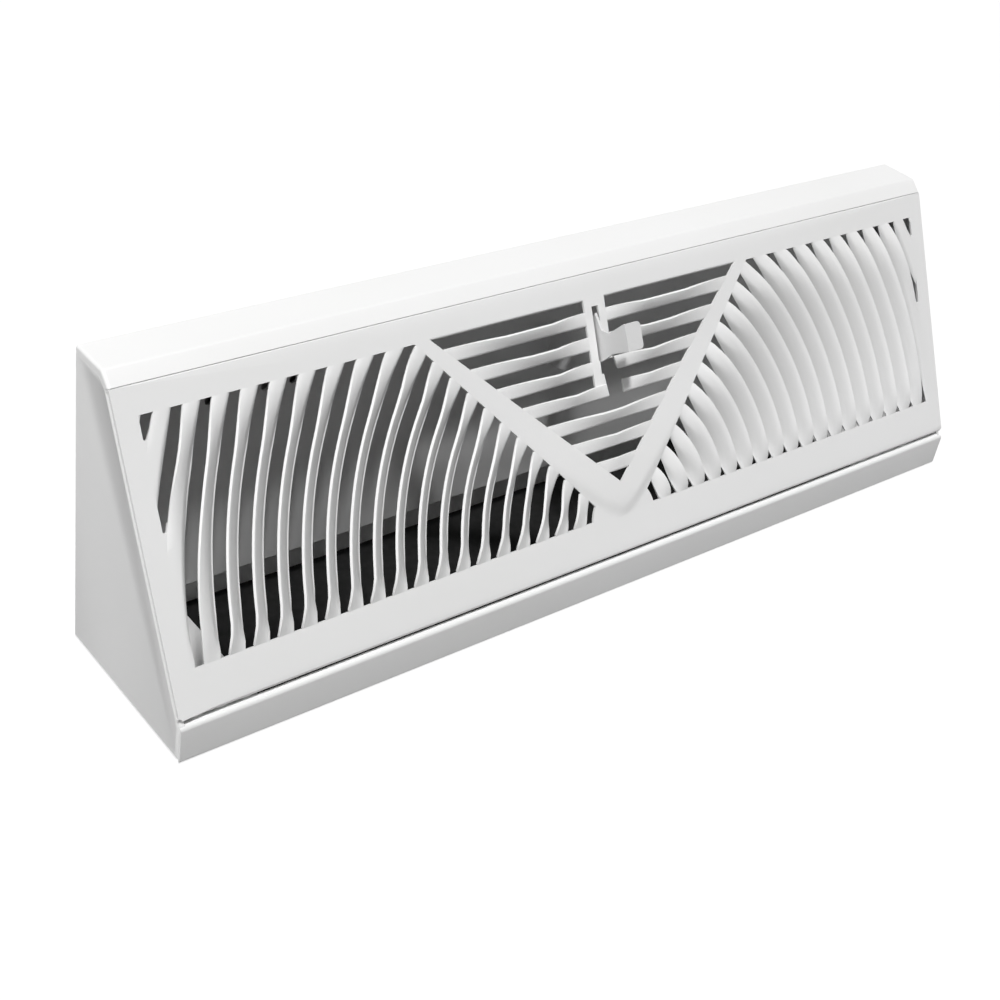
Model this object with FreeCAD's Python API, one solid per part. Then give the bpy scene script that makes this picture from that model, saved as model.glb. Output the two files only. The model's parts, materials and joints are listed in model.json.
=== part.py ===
"""Baseboard air outlet: a sheet-steel diffuser that stands over a floor duct against a wall.

Frame: +X along the length, -Y towards the room, +Z up. The origin is the middle of the base.
A slanted plate with arched louvres closes the front. A hinged damper blade behind it is set by
a lever that comes out through the plate.
"""
import FreeCAD, Part
import math
import os

V = FreeCAD.Vector

# Casing, millimetres
length = 381.0
depth = 69.85
height = 114.3
sheet = 0.9
hood_depth = 15.7
lip_forward = 4.6
lip_drop = 4.2
hood_skirt = 2.4
rail_height = 15.0
hood_end_radius = 1.1
end_panel_radius = 2.0
bend_radius = 0.7
joint_gap = 0.1
duct_opening_length = 304.8
end_flange = 7.0
rail_ledge = 2.6
rail_ledge_notch = 1.9
rail_floor_flange = 8.0
hood_rear_flange = 10.0
hood_return = 4.0
rear_lap = 6.0
back_panel_lap = 8.0

# Wall fixing
fixing_spacing = 254.0
fixing_below_top = 26.8
fixing_hole_radius = 2.4

# Slanted face plate: x along the outlet, s down the slope from the lip, h outwards
plate_top = 0.2
plate_above_foot = 2.2
plate_return = 5.0
plate_edge_radius = 0.8

# Arched louvres of the two wings, concentric about a centre near the plate's foot
arch_centre_above_foot = 14.4
arch_first_radius = 17.6
arch_pitch = 9.04
arch_slot_width = 3.94
wing_top_s = 9.65
wing_bottom_above_foot = 17.2
wing_side_border = 8.3
wing_inner_top_x = 80.6
wing_inner_bottom_x = 8.1

# Straight louvres of the V-shaped middle
row_pitch = 9.13
row_count = 8
row_slot_height = 4.3
vee_top_x = 74.0
vee_apex_s = 78.2
divided_rows = 4
lever_bar_width = 3.5

# Blades of the louvres, tilted about the line where they cross the plate
flap_length = 3.2
arch_tilt_angle = 39.0
row_tilt_angle = 34.0
row_end = 4.5
row_overlap = 0.4
arch_start_angle = -2.0
arch_sweep_angle = 94.0

# Slot and pocket that the lever passes through
lever_slot_half_width = 1.55
lever_slot_top_s = 12.3
lever_slot_bottom_s = 32.4
pocket_left_x = -1.1
pocket_step_x = -0.1
pocket_floor_left_x = 1.1
pocket_step_s = 37.4
pocket_upper_right_x = 5.9
pocket_right_x = 8.4

# Damper
hinge_behind_hood = 5.0
hinge_below_top = 11.3
hinge_rod_radius = 1.5
hinge_running_clearance = 0.05
blade_above_floor = 13.5
blade_hem = 3.0
blade_end_gap = 0.5
bracket_from_end = 3.0
bracket_foot = 10.0
bracket_depth = 8.0
bracket_below_hinge = 4.0
rod_end_stub = 1.0
blade_hole_radius = 1.6
blade_hole_offsets = (-11.0, 0.0, 21.0)

# Lever: where its edges cross the plate, and its outline in front of the plate as (s, h)
lever_inner_s = 14.9
lever_outer_s = 32.8
lever_upper_heel = (21.3, 2.4)
lever_upper_neck = (22.4, 6.1)
lever_tab_top = (19.1, 14.1)
lever_tab_low = (29.1, 14.6)
lever_lower_neck = (29.9, 6.6)
lever_lower_heel = (32.1, 2.0)
lever_thickness = 1.0
lever_tab_width = 7.0
lever_tab_corner = 1.6
lever_foot_width = 9.0

# Places that follow from the sizes
end_x = length / 2
front_y = -depth / 2
rear_y = depth / 2
lip_y = rear_y - hood_depth - lip_forward
lip_z = height - lip_drop
flange_x = end_x - end_flange
sheet_half = end_x - joint_gap
return_half = end_x - end_panel_radius - joint_gap
slope_length = math.hypot(lip_y - front_y, lip_z - rail_height)
slope_angle = math.degrees(math.atan2(lip_z - rail_height, lip_y - front_y))
plate_bottom = slope_length - plate_above_foot
arch_centre_s = slope_length - arch_centre_above_foot
wing_bottom_s = slope_length - wing_bottom_above_foot
wing_outer_x = sheet_half - wing_side_border
wing_reach = math.hypot(wing_outer_x, arch_centre_s - wing_top_s)
arch_count = int((wing_reach - arch_first_radius) / arch_pitch) + 1
row_top_s = wing_top_s
hinge_y = rear_y - hinge_behind_hood
hinge_height = height - hinge_below_top
fixing_height = height - fixing_below_top
roll_radius = hinge_rod_radius + hinge_running_clearance + sheet
blade_front_y = hinge_y - roll_radius
bracket_x = end_x - bracket_from_end - sheet
duct_x = duct_opening_length / 2
beyond = 5.0

slope = FreeCAD.Placement(V(0, lip_y, lip_z), FreeCAD.Rotation(V(1, 0, 0), slope_angle))


def box(x0, x1, y0, y1, z0, z1):
    return Part.makeBox(x1 - x0, y1 - y0, z1 - z0, V(x0, y0, z0))


def on_slope(x, s, h):
    """Point given by its place on the slanted plate, in the part's frame."""
    return slope.multVec(V(x, -s, h))


def moved_to_slope(shape):
    """Put a shape that was made with the plate lying flat onto the slope."""
    shape.Placement = slope.multiply(shape.Placement)
    return shape


def mirrored(shape):
    return shape.mirror(V(0, 0, 0), V(1, 0, 0))


def polygon(points):
    return Part.makePolygon(points + [points[0]])


def prism(points, x0, x1):
    """Solid between two X positions from its (y, z) outline."""
    outline = polygon([V(x0, y, z) for y, z in points])
    return Part.Face(outline).extrude(V(x1 - x0, 0, 0))


def unit(a, b):
    size = math.hypot(b[0] - a[0], b[1] - a[1])
    return ((b[0] - a[0]) / size, (b[1] - a[1]) / size)


def offset_line(points, distance):
    """The (y, z) polyline moved sideways to the left of its direction, with mitred corners."""
    moved = []
    for index, point in enumerate(points):
        before = unit(points[max(index - 1, 0)], points[max(index, 1)])
        last = len(points) - 1
        after = unit(points[min(index, last - 1)], points[min(index + 1, last)])
        cosine = before[0] * after[0] + before[1] * after[1]
        share = distance / (1 + cosine)
        normal_y = -(before[1] + after[1])
        normal_z = before[0] + after[0]
        moved.append((point[0] + share * normal_y, point[1] + share * normal_z))
    return moved


def rounded_edges(points, radii, x):
    """Edges of a (y, z) polyline at one X, each inner corner rounded by its own radius."""
    edges = []
    start = V(x, *points[0])
    for index in range(1, len(points) - 1):
        corner = V(x, *points[index])
        into = unit(points[index - 1], points[index])
        away = unit(points[index], points[index + 1])
        radius = radii[index - 1]
        turn = math.acos(into[0] * away[0] + into[1] * away[1])
        cut = radius * math.tan(turn / 2)
        first = corner - V(0, *into) * cut
        last = corner + V(0, *away) * cut
        bisector = V(0, away[0] - into[0], away[1] - into[1])
        bisector.normalize()
        middle = corner + bisector * (radius / math.cos(turn / 2) - radius)
        edges.append(Part.makeLine(start, first))
        edges.append(Part.Arc(first, middle, last).toShape())
        start = last
    edges.append(Part.makeLine(start, V(x, *points[-1])))
    return edges


def folded_sheet(points, x0, x1):
    """Sheet folded along a (y, z) line, its thickness to the left of the line's direction."""
    near = []
    far = []
    for index in range(1, len(points) - 1):
        into = unit(points[index - 1], points[index])
        away = unit(points[index], points[index + 1])
        left_turn = into[0] * away[1] - into[1] * away[0] > 0
        near.append(bend_radius + sheet if left_turn else bend_radius)
        far.append(bend_radius if left_turn else bend_radius + sheet)
    other = offset_line(points, sheet)
    edges = rounded_edges(points, near, x0)
    edges.append(Part.makeLine(V(x0, *points[-1]), V(x0, *other[-1])))
    edges += rounded_edges(other[::-1], far[::-1], x0)
    edges.append(Part.makeLine(V(x0, *other[0]), V(x0, *points[0])))
    outline = Part.Wire(Part.__sortEdges__(edges))
    return Part.Face(outline).extrude(V(x1 - x0, 0, 0))


def rounded_block(points, radii, half_length, rounding):
    """Prism of a closed (y, z) outline with rounded corners and, unless the rounding is zero,
    rounded end edges. The outline starts and ends on the wall side, where its edges stay square.
    """
    edges = rounded_edges(points, radii, -half_length)
    edges.append(Part.makeLine(V(-half_length, *points[-1]), V(-half_length, *points[0])))
    solid = Part.Face(Part.Wire(edges)).extrude(V(2 * half_length, 0, 0))
    wall_y = points[0][0]
    floor_z = points[0][1]
    end_edges = []
    for edge in solid.Edges:
        bounds = edge.BoundBox
        at_end = bounds.XLength < 1e-6
        on_wall = bounds.YMin > wall_y - 1e-6
        on_floor = bounds.ZMax < floor_z + 1e-6
        if at_end and not on_wall and not on_floor:
            end_edges.append(edge)
    return solid.makeFillet(rounding, end_edges) if rounding > 0 else solid


def casing_outline():
    """Closed (y, z) outline of the whole casing, from the wall's foot round to its top."""
    return [
        (rear_y, 0),
        (front_y, 0),
        (front_y, rail_height),
        (lip_y, lip_z),
        (rear_y - hood_depth, height),
        (rear_y, height),
    ]


def inset(outline, distance):
    """Casing outline with everything but the wall side moved inwards."""
    line = [(rear_y + depth, outline[0][1])] + outline[1:-1] + [(rear_y + depth, outline[-1][1])]
    moved = offset_line(line, -distance)
    moved[0] = (rear_y, moved[0][1])
    moved[-1] = (rear_y, moved[-1][1])
    return moved


def casing_shell(outline, rounding, inner_rounding):
    """Closed shell, one sheet thick, with rounded end edges."""
    outer = rounded_block(outline, [bend_radius + sheet] * 4, end_x, rounding)
    inside = inset(outline, sheet)
    inside[0] = (rear_y - sheet, inside[0][1])
    inside[-1] = (rear_y - sheet, inside[-1][1])
    inner = rounded_block(inside, [bend_radius] * 4, end_x - sheet, inner_rounding)
    return outer.cut(inner)


def hood_section():
    """The (y, z) area that belongs to the hood: the top and the lip with their closed ends."""
    outer = [(rear_y, height), (rear_y - hood_depth, height), (lip_y, lip_z)]
    inner = offset_line(outer, hood_skirt)
    seam_out = on_slope(0, 0, beyond)
    seam_in = on_slope(0, 0, -hood_skirt)
    return [
        (rear_y + beyond, height + beyond),
        (seam_out.y, height + beyond),
        (seam_out.y, seam_out.z),
        (seam_in.y, seam_in.z),
        inner[1],
        (rear_y + beyond, inner[1][1]),
    ]


def hood():
    """Top and lip, with a flange down the wall and a return behind the lip."""
    shell = casing_shell(casing_outline(), hood_end_radius, 0)
    body = shell.common(prism(hood_section(), -end_x - beyond, end_x + beyond))
    rear = box(-flange_x + joint_gap, flange_x - joint_gap, rear_y - sheet, rear_y,
               height - hood_rear_flange, height - sheet)
    turned_in = box(-return_half, return_half, 0, sheet, -sheet / 2 - hood_return, -sheet / 2)
    return body.multiFuse([rear, moved_to_slope(turned_in)]).removeSplitter()


def ledge_relief():
    """The (y, z) area in which an end panel's flange leaves room for the rail's ledge and for
    the plate's lower return."""
    under_ledge = rail_height - sheet - bend_radius - joint_gap
    upper_s = plate_bottom - 2 * sheet
    out = on_slope(0, upper_s, beyond)
    deep = on_slope(0, upper_s, -plate_return - joint_gap)
    return [(out.y, out.z), (deep.y, deep.z), (deep.y, under_ledge), (front_y - beyond, under_ledge)]


def right_end():
    """End panel. Its rounded front edge and its flange lie behind the plate and the rail."""
    outline = inset(casing_outline(), sheet)
    outline[0] = (rear_y, 0)
    outline[1] = (front_y + sheet, 0)
    shell = casing_shell(outline, end_panel_radius, end_panel_radius - sheet)
    cap = box(flange_x, end_x, front_y, rear_y, 0, height)
    body = shell.common(cap).cut(prism(hood_section(), flange_x - beyond, end_x + beyond))
    body = body.cut(prism(ledge_relief(), flange_x - beyond, sheet_half - rail_ledge_notch + joint_gap))
    floor_flange = box(duct_x, flange_x + sheet, front_y + 2 * sheet + bend_radius, rear_y - sheet, 0, sheet)
    wall_lap = box(flange_x - rear_lap, end_x - sheet / 2, rear_y - 2 * sheet, rear_y - sheet,
                   sheet, height - hood_rear_flange - back_panel_lap)
    return body.multiFuse([floor_flange, wall_lap]).removeSplitter()


def front_rail():
    """Upright rail with a ledge along its top and a flange on the floor between the ends."""
    line = [
        (front_y + rail_ledge, rail_height),
        (front_y, rail_height),
        (front_y, 0),
        (front_y + rail_floor_flange, 0),
    ]
    rail = folded_sheet(line, -sheet_half, sheet_half)
    cuts = []
    for side in (-1, 1):
        foot_x = sorted((side * duct_x, side * (sheet_half + beyond)))
        inner_y = front_y + sheet
        flange_y = inner_y + rail_floor_flange
        cuts.append(box(foot_x[0], foot_x[1], inner_y, flange_y, -beyond, bend_radius + sheet))
        notch_x = sorted((side * (sheet_half - rail_ledge_notch), side * (sheet_half + beyond)))
        ledge_y = inner_y + rail_ledge
        cuts.append(box(notch_x[0], notch_x[1], inner_y, ledge_y, rail_height - 2 * sheet, height))
    return rail.cut(Part.makeCompound(cuts))


def back_panel():
    """Flat wall panel between the end flanges, joggled up behind the hood, with two screw holes."""
    half = flange_x - joint_gap
    top = height - hood_rear_flange - joint_gap
    panel = box(-half, half, rear_y - sheet, rear_y, 0, top)
    lap_half = flange_x - rear_lap - joint_gap
    lap = box(-lap_half, lap_half, rear_y - 2 * sheet, rear_y - sheet,
              top - back_panel_lap / 2, top + back_panel_lap)
    holes = []
    for x in (-fixing_spacing / 2, fixing_spacing / 2):
        centre = V(x, rear_y + beyond, fixing_height)
        holes.append(Part.makeCylinder(fixing_hole_radius, 2 * beyond, centre, V(0, -1, 0)))
    return panel.fuse(lap).cut(Part.makeCompound(holes)).removeSplitter()


def flat_face(points):
    """Face on the flat plate from its (x, s) outline."""
    return Part.Face(polygon([V(x, -s, 0) for x, s in points]))


def wing_outline():
    """Area of the right wing on the flat plate, as (x, s) points."""
    return [
        (wing_inner_top_x, wing_top_s),
        (wing_outer_x, wing_top_s),
        (wing_outer_x, wing_bottom_s),
        (wing_inner_bottom_x, wing_bottom_s),
    ]


def vee_outline():
    """Area of the V-shaped middle on the flat plate, as (x, s) points."""
    return [(-vee_top_x, row_top_s), (vee_top_x, row_top_s), (0, vee_apex_s)]


def shrunk(outline, distance):
    """Closed (x, s) outline moved inwards by a distance."""
    closed = [outline[-1]] + outline + [outline[0]]
    return offset_line(closed, distance)[1:-1]


def block(face):
    """Solid that holds everything in front of and behind a flat face's area."""
    solid = face.extrude(V(0, 0, 4 * flap_length))
    solid.translate(V(0, 0, -2 * flap_length))
    return solid


def pocket_outline():
    """Lever slot with the wider pocket below it, where the lever's tab goes in."""
    floor_s = row_top_s + divided_rows * row_pitch + joint_gap
    row_bottom_s = row_top_s + (divided_rows - 1) * row_pitch + row_slot_height
    half = lever_slot_half_width
    return [
        (-half, lever_slot_top_s),
        (half, lever_slot_top_s),
        (half, lever_slot_bottom_s),
        (pocket_upper_right_x, lever_slot_bottom_s),
        (pocket_right_x, row_bottom_s),
        (pocket_right_x, floor_s),
        (pocket_floor_left_x, floor_s),
        (pocket_step_x, pocket_step_s),
        (pocket_left_x, pocket_step_s),
        (pocket_left_x, lever_slot_bottom_s),
        (-half, lever_slot_bottom_s),
    ]


def blade_section(crossing, raised, tilt_angle):
    """Closed (distance, h) outline of a blade that crosses the plate's face at a distance. Its
    raised side lies in front of the plate, and its other side falls back under the opening."""
    tilt = math.radians(tilt_angle)
    front = [
        (crossing - flap_length * math.cos(tilt), -flap_length * math.sin(tilt)),
        (crossing + raised * math.cos(tilt), raised * math.sin(tilt)),
    ]
    back = [(d + sheet * math.sin(tilt), h - sheet * math.cos(tilt)) for d, h in front]
    return front + back[::-1]


def wing_window():
    """Flat face cut out of the right wing: all of it, but for the metal inside the first slot."""
    centre = V(0, -arch_centre_s, 0)
    inner = Part.Face(Part.Wire(Part.makeCircle(arch_first_radius - arch_slot_width / 2, centre)))
    return flat_face(wing_outline()).cut(inner)


def arch_blades():
    """Curved blades of the right wing, which end flat against the wing's border."""
    clip = block(flat_face(wing_outline()))
    centre = V(0, -arch_centre_s, 0)
    blades = []
    for index in range(arch_count):
        crossing = arch_first_radius + index * arch_pitch + arch_slot_width / 2
        outline = blade_section(crossing, arch_pitch - arch_slot_width, arch_tilt_angle)
        section = Part.Face(polygon([V(r, -arch_centre_s, h) for r, h in outline]))
        section.rotate(centre, V(0, 0, 1), arch_start_angle)
        blades.append(section.revolve(centre, V(0, 0, 1), arch_sweep_angle).common(clip))
    return blades


def row_spans(index):
    """The x ranges of a straight row. The upper rows leave a bar on each side of the lever slot."""
    bar_end = lever_slot_half_width + lever_bar_width
    if index < divided_rows:
        return [(-vee_top_x, -bar_end), (bar_end, vee_top_x)]
    return [(-vee_top_x, vee_top_x)]


def strip_spans(index, end):
    """The x ranges in which the strip above a slot is free, short of bars and of the pocket."""
    if index < divided_rows:
        return [(x0 + end, x1 - end) for x0, x1 in row_spans(index)]
    if index == divided_rows:
        return [(-vee_top_x, pocket_step_x - end), (pocket_right_x + end, vee_top_x)]
    return row_spans(index)


def row_windows():
    """Flat faces cut out of the middle: the slots, and the strips between their ends."""
    vee = flat_face(vee_outline())
    strips = flat_face(shrunk(vee_outline(), row_end))
    windows = []
    for index in range(row_count):
        top = row_top_s + index * row_pitch
        bottom = top + row_slot_height
        for x0, x1 in row_spans(index):
            windows.append(flat_face([(x0, top), (x1, top), (x1, bottom), (x0, bottom)]).common(vee))
        if index > 0:
            previous = top - row_pitch + row_slot_height
            for x0, x1 in strip_spans(index, row_end):
                strip = flat_face([(x0, previous), (x1, previous), (x1, top), (x0, top)])
                windows.append(strip.common(strips))
    return windows


def row_blades():
    """Straight blades of the middle, which reach a little into the flat ends of the strips.
    The uppermost has no raised side, because the plate's border is above it."""
    end = row_end - row_overlap
    clip = block(flat_face(shrunk(vee_outline(), end)))
    border = block(flat_face([(-end_x, 0), (end_x, 0), (end_x, slope_length), (-end_x, slope_length)]))
    blades = []
    for index in range(row_count):
        crossing = row_top_s + index * row_pitch
        raised = row_pitch - row_slot_height if index > 0 else 0
        outline = blade_section(crossing, raised, row_tilt_angle)
        for x0, x1 in strip_spans(index, end):
            section = Part.Face(polygon([V(x0, distance - 2 * crossing, h) for distance, h in outline]))
            blade = section.extrude(V(x1 - x0, 0, 0))
            blades += blade.common(clip if index > 0 else border).Solids
    return blades


def plate_blank():
    """Flat sheet with a short return behind its upper and its lower edge."""
    blank = box(-sheet_half, sheet_half, -plate_bottom, -plate_top, -sheet, 0)
    upper_half = flange_x - joint_gap
    upper = box(-upper_half, upper_half, -plate_top - sheet, -plate_top, -plate_return, 0)
    lower = box(-return_half, return_half, -plate_bottom, -plate_bottom + sheet, -plate_return, 0)
    blank = blank.multiFuse([upper, lower]).removeSplitter()
    folds = [e for e in blank.Edges if e.BoundBox.ZMin > -sheet / 2 and e.BoundBox.XLength > end_x]
    return blank.makeFillet(plate_edge_radius, folds)


def face_plate():
    """Slanted plate with arched louvres in two wings and straight ones between them."""
    wing = wing_window()
    windows = [wing, mirrored(wing), flat_face(pocket_outline())] + row_windows()
    openings = [block(window) for window in windows if window.Area > sheet]
    right_blades = arch_blades()
    blades = right_blades + [mirrored(blade) for blade in right_blades] + row_blades()
    plate = plate_blank().cut(openings).multiFuse([blade for blade in blades if blade.Volume > 1])
    return moved_to_slope(max(plate.Solids, key=lambda solid: solid.Volume))


def hinge_bracket():
    """Right bracket under the hood, with an ear that holds the end of the hinge rod."""
    ear_front = hinge_y - bracket_depth / 2
    ear_rear = hinge_y + roll_radius
    top = height - sheet
    ear = box(bracket_x, bracket_x + sheet, ear_front, ear_rear, hinge_height - bracket_below_hinge, top)
    foot = box(bracket_x - bracket_foot, bracket_x + sheet, ear_front, ear_rear, top - sheet, top)
    start = V(bracket_x - beyond, hinge_y, hinge_height)
    hole = Part.makeCylinder(hinge_rod_radius, 2 * beyond, start, V(1, 0, 0))
    return ear.fuse(foot).cut(hole).removeSplitter()


def hinge_rod():
    half = bracket_x + sheet + rod_end_stub
    return Part.makeCylinder(hinge_rod_radius, 2 * half, V(-half, hinge_y, hinge_height), V(1, 0, 0))


def blade_half_length():
    return bracket_x - blade_end_gap


def lever_radius(s):
    """Distance from the hinge to the lever's edge where it crosses the face plate."""
    place = on_slope(0, s, 0)
    return math.hypot(place.y - hinge_y, place.z - hinge_height)


def foot_top():
    reach = lever_radius(lever_inner_s)
    return hinge_height - math.sqrt(reach ** 2 - roll_radius ** 2)


def foot_bottom():
    reach = lever_radius(lever_outer_s)
    return hinge_height - math.sqrt(reach ** 2 - roll_radius ** 2)


def damper_blade():
    """Blade whose top edge is rolled round the hinge rod and whose foot is hemmed."""
    half = blade_half_length()
    axis = V(1, 0, 0)
    roll_centre = V(-half, hinge_y, hinge_height)
    blade = box(-half, half, blade_front_y, blade_front_y + sheet, blade_above_floor, hinge_height)
    hem_y = blade_front_y - sheet
    hem = box(-half, half, hem_y, blade_front_y, blade_above_floor, blade_above_floor + blade_hem)
    roll = Part.makeCylinder(roll_radius, 2 * half, roll_centre, axis)
    bore = Part.makeCylinder(roll_radius - sheet, 2 * half, roll_centre, axis)
    holes = []
    for side in (-1, 1):
        for offset in blade_hole_offsets:
            x = side * (fixing_spacing / 2 + offset)
            start = V(x, blade_front_y - sheet, fixing_height)
            holes.append(Part.makeCylinder(blade_hole_radius, 3 * sheet, start, V(0, 1, 0)))
    return blade.multiFuse([hem, roll]).cut(bore).cut(Part.makeCompound(holes)).removeSplitter()


def damper_lever():
    """Flat strip with arched edges about the hinge, a foot on the blade and a finger tab."""
    half = lever_thickness / 2
    inner_reach = lever_radius(lever_inner_s)
    outer_reach = lever_radius(lever_outer_s)
    top = on_slope(-half, lever_inner_s, 0)
    low = on_slope(-half, lever_outer_s, 0)

    def around_hinge(reach, first, last):
        """Arc about the hinge between two points of the strip."""
        middle = (first + last) * 0.5
        away = V(0, middle.y - hinge_y, middle.z - hinge_height)
        away.normalize()
        through = V(-half, hinge_y + reach * away.y, hinge_height + reach * away.z)
        return Part.Arc(first, through, last).toShape()

    foot_high = V(-half, blade_front_y, foot_top())
    foot_low = V(-half, blade_front_y, foot_bottom())
    upper = [top] + [on_slope(-half, s, h) for s, h in (lever_upper_heel, lever_upper_neck, lever_tab_top)]
    lower = [on_slope(-half, s, h) for s, h in (lever_tab_low, lever_lower_neck, lever_lower_heel)] + [low]
    edges = [around_hinge(inner_reach, foot_high, top)]
    corners = upper + lower
    for first, last in zip(corners, corners[1:]):
        edges.append(Part.makeLine(first, last))
    edges.append(around_hinge(outer_reach, low, foot_low))
    edges.append(Part.makeLine(foot_low, foot_high))
    strip = Part.Face(Part.Wire(edges)).extrude(V(lever_thickness, 0, 0))
    foot = box(-half, lever_foot_width + half, blade_front_y - lever_thickness, blade_front_y,
               foot_bottom(), foot_top())
    tab_top = upper[-1]
    tab_low = lower[0]
    along = tab_low - tab_top
    inward = V(0, -along.z, along.y)
    inward.normalize()
    reach = V(lever_tab_width + half, 0, 0)
    outline = polygon([tab_top, tab_top + reach, tab_low + reach, tab_low])
    tab = Part.Face(outline).extrude(inward * -lever_thickness)
    free_corners = [e for e in tab.Edges if e.BoundBox.XMin > half and e.Length < 2 * lever_thickness]
    tab = tab.makeFillet(lever_tab_corner, free_corners)
    return strip.multiFuse([foot, tab]).removeSplitter()


def main():
    end = right_end()
    bracket = hinge_bracket()
    parts = {
        "hood": hood(),
        "right_end": end,
        "left_end": mirrored(end),
        "front_rail": front_rail(),
        "back_panel": back_panel(),
        "face_plate": face_plate(),
        "right_hinge_bracket": bracket,
        "left_hinge_bracket": mirrored(bracket),
        "hinge_rod": hinge_rod(),
        "damper_blade": damper_blade(),
        "damper_lever": damper_lever(),
    }
    os.makedirs("parts", exist_ok=True)
    for name, shape in parts.items():
        shape.exportStep(f"parts/{name}.step")
        print(name, len(shape.Solids), "solid", shape.isValid(), round(shape.Volume, 1))


main()
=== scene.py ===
# %% [markdown]
# A baseboard air outlet: a white enamelled steel casing that stands over a floor duct.
# Its front is a slanted plate, pressed with two wings of arched louvres and a V of straight ones.
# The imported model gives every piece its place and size. This lesson gives them their looks.

import json
import math

import bmesh
import bpy
from mathutils import Matrix, Vector

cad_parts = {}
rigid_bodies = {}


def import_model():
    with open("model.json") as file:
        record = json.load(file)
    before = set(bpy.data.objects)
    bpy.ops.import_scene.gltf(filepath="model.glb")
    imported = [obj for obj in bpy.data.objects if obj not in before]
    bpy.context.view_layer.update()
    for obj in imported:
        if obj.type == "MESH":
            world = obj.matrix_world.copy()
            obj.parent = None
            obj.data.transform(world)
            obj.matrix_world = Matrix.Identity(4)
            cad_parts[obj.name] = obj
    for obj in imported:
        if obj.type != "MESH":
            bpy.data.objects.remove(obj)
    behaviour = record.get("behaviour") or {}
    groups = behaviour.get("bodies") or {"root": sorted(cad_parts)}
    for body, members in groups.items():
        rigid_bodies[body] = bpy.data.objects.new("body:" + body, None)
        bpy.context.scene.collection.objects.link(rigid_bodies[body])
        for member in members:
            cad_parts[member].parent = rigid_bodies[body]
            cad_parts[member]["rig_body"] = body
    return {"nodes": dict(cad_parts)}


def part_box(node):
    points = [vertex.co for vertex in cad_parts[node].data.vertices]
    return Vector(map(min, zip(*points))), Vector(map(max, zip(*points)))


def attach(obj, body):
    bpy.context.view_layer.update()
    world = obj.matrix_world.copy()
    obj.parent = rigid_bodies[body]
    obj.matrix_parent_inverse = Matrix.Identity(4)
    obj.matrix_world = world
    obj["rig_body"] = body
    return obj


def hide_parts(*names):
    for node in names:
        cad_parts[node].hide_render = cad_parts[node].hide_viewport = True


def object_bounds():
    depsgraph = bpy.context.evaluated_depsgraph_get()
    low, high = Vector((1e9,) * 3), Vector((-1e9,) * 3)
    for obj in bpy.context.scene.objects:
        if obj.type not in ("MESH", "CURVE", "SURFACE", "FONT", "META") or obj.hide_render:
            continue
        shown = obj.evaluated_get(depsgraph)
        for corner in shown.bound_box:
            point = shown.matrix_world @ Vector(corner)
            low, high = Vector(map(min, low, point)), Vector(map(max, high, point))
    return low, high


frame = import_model()
cad_low, cad_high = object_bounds()
MM = 0.001
print("size in mm:", [round(side / MM, 2) for side in cad_high - cad_low])

# %% [markdown]
# The louvred plate is easiest to model lying flat, as it was before it went into the casing:
# x along the outlet, s down the slope from the lip above it, h outwards. One matrix then puts it
# on the slope. The slope runs from the lip's lower edge to the rail's top edge.

# %% The slope that the plate lies on
LIP_DROP = 4.2 * MM
hood_low, hood_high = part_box("hood")
rail_low, rail_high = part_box("front_rail")
lip = Vector((0, hood_low.y, hood_high.z - LIP_DROP))
foot = Vector((0, rail_low.y, rail_high.z))
slope_angle = math.atan2(lip.z - foot.z, lip.y - foot.y)
SLOPE = Matrix.Translation(lip) @ Matrix.Rotation(slope_angle, 4, "X")
plate_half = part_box("face_plate")[1].x / MM
print("slope from vertical:", round(90 - math.degrees(slope_angle), 2), "degrees")
print("half of the plate's width:", round(plate_half, 2), "mm")

# %% [markdown]
# Helpers. A flat point is given as (x, s, h) in millimetres. Every finished piece is one mesh in
# the row frame, smooth-shaded except across its sharp edges.


# %% Helpers for flat points and finished pieces
def flat(x, s, h=0.0):
    """Place x along the plate, s down it and h out of it, in the flat plate's own axes."""
    return Vector((x, -s, h)) * MM


def smooth(mesh, angle=35):
    """Shade a mesh smooth, apart from edges that are sharper than the angle."""
    for face in mesh.polygons:
        face.use_smooth = True
    mesh.set_sharp_from_angle(angle=math.radians(angle))


def piece_from(bm, name, body, slot_name, *nodes):
    """Turn a bmesh in the row frame into a piece that rides on a body and stands for nodes."""
    mesh = bpy.data.meshes.new(name)
    bm.to_mesh(mesh)
    bm.free()
    smooth(mesh)
    piece = bpy.data.objects.new(name, mesh)
    bpy.context.scene.collection.objects.link(piece)
    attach(piece, body)
    if nodes:
        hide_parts(*nodes)
    print(name, "faces", len(mesh.polygons))
    return piece


# %% [markdown]
# The sizes of the pattern, in millimetres. The arches share one centre near the plate's foot.
# Every slot has a blade, which is the strip beside it: the strip's one side is raised to a free
# edge, and its other side falls back under the slot as a flap.

# %% Sizes of the louvre pattern
SHEET = 0.9
ARCH_CENTRE_S = 92.83
ARCH_FIRST_RADIUS = 17.6
ARCH_PITCH = 9.04
ARCH_COUNT = 21
ARCH_SLOT = 3.94
WING_TOP_S = 9.65
WING_BOTTOM_S = 90.03
WING_OUTER_X = 183.0
WING_INNER_TOP_X = 80.6
WING_INNER_BOTTOM_X = 8.1
ROW_PITCH = 9.13
ROW_SLOT = 4.3
ROW_COUNT = 8
VEE_TOP_X = 74.0
VEE_APEX_S = 78.2
VEE_SLOPE = VEE_TOP_X / (VEE_APEX_S - WING_TOP_S)
PLATE_TOP_S = 0.2
PLATE_BOTTOM_S = 105.03
PLATE_RETURN = 5.0
BAR_INNER_X = 1.55
BAR_OUTER_X = 5.05
arch_first_inner = ARCH_FIRST_RADIUS - ARCH_SLOT / 2
print("sides of the V lean", round(VEE_SLOPE, 3), "mm across for each mm down")

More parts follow.
